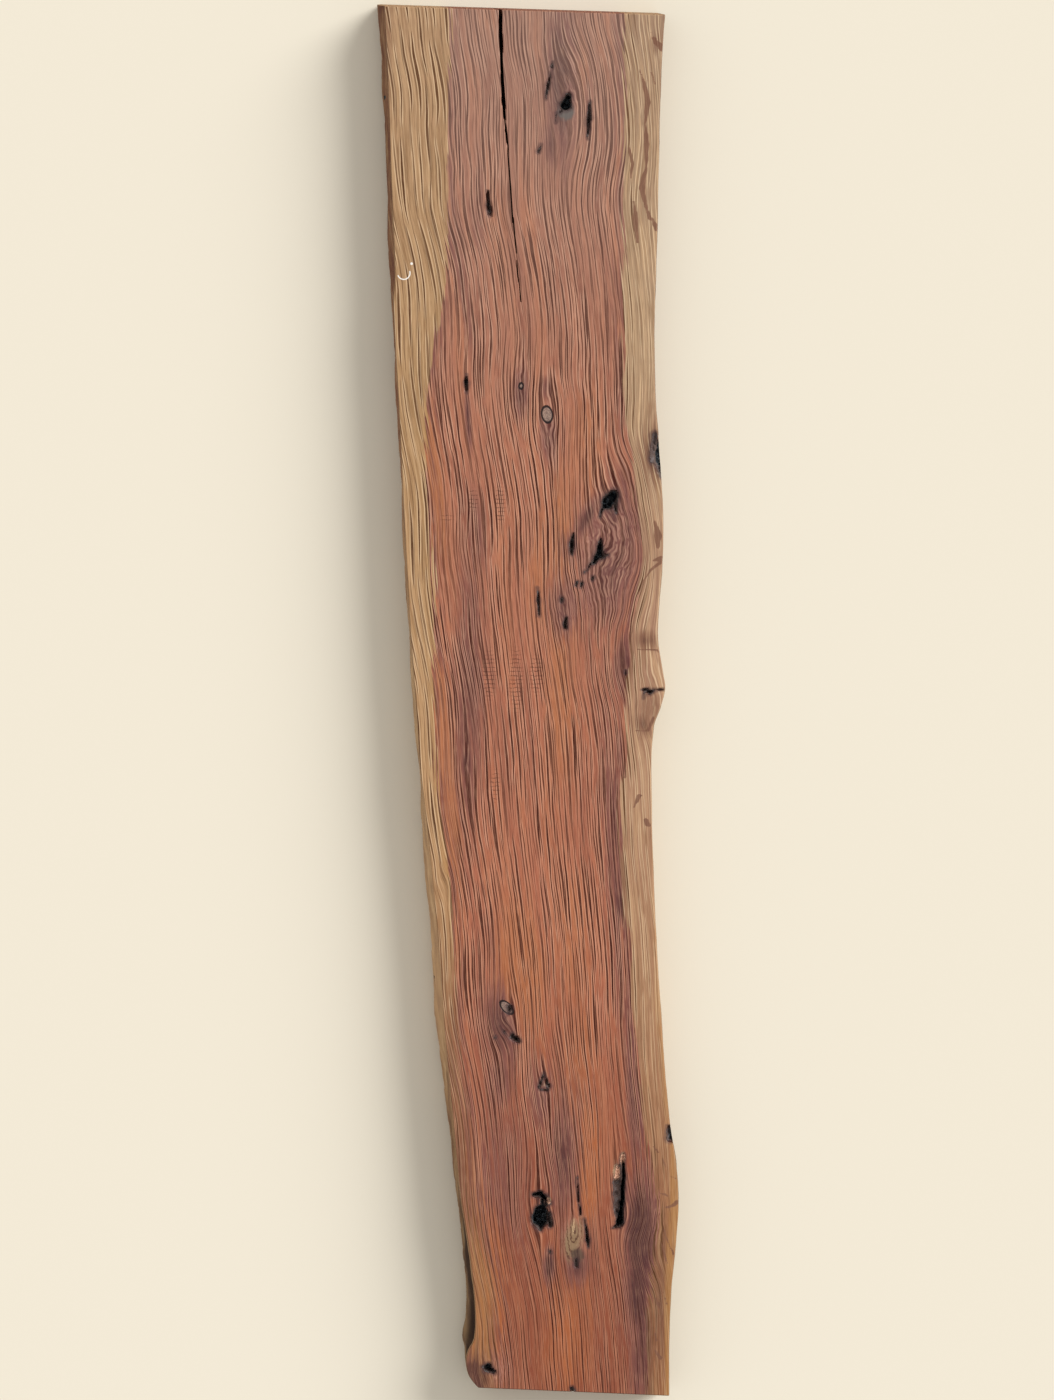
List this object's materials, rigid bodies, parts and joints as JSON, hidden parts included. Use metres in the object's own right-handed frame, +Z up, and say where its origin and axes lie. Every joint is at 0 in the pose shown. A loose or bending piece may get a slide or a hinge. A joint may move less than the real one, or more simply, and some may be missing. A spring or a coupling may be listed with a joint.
{
  "type": "live edge slab",
  "caption": "Long tapering live edge board of buloke: flat sawn face and underside, natural wandering edges, knot and gum holes and a drying check at the wide end.",
  "frame": {"origin": "middle of the slab's bounding box, on the underside it lies on", "axes": "+Y along the slab, towards its wide end; +X across it, towards the edge with the burl; +Z up through its thickness, out of the finished face"},
  "size_m": [0.3028, 1.4012, 0.045],
  "materials": {
    "buloke_wood": "sanded and oiled, satin"
  },
  "bodies": {
    "root": {"slab": "buloke_wood"}
  },
  "joints": []
}
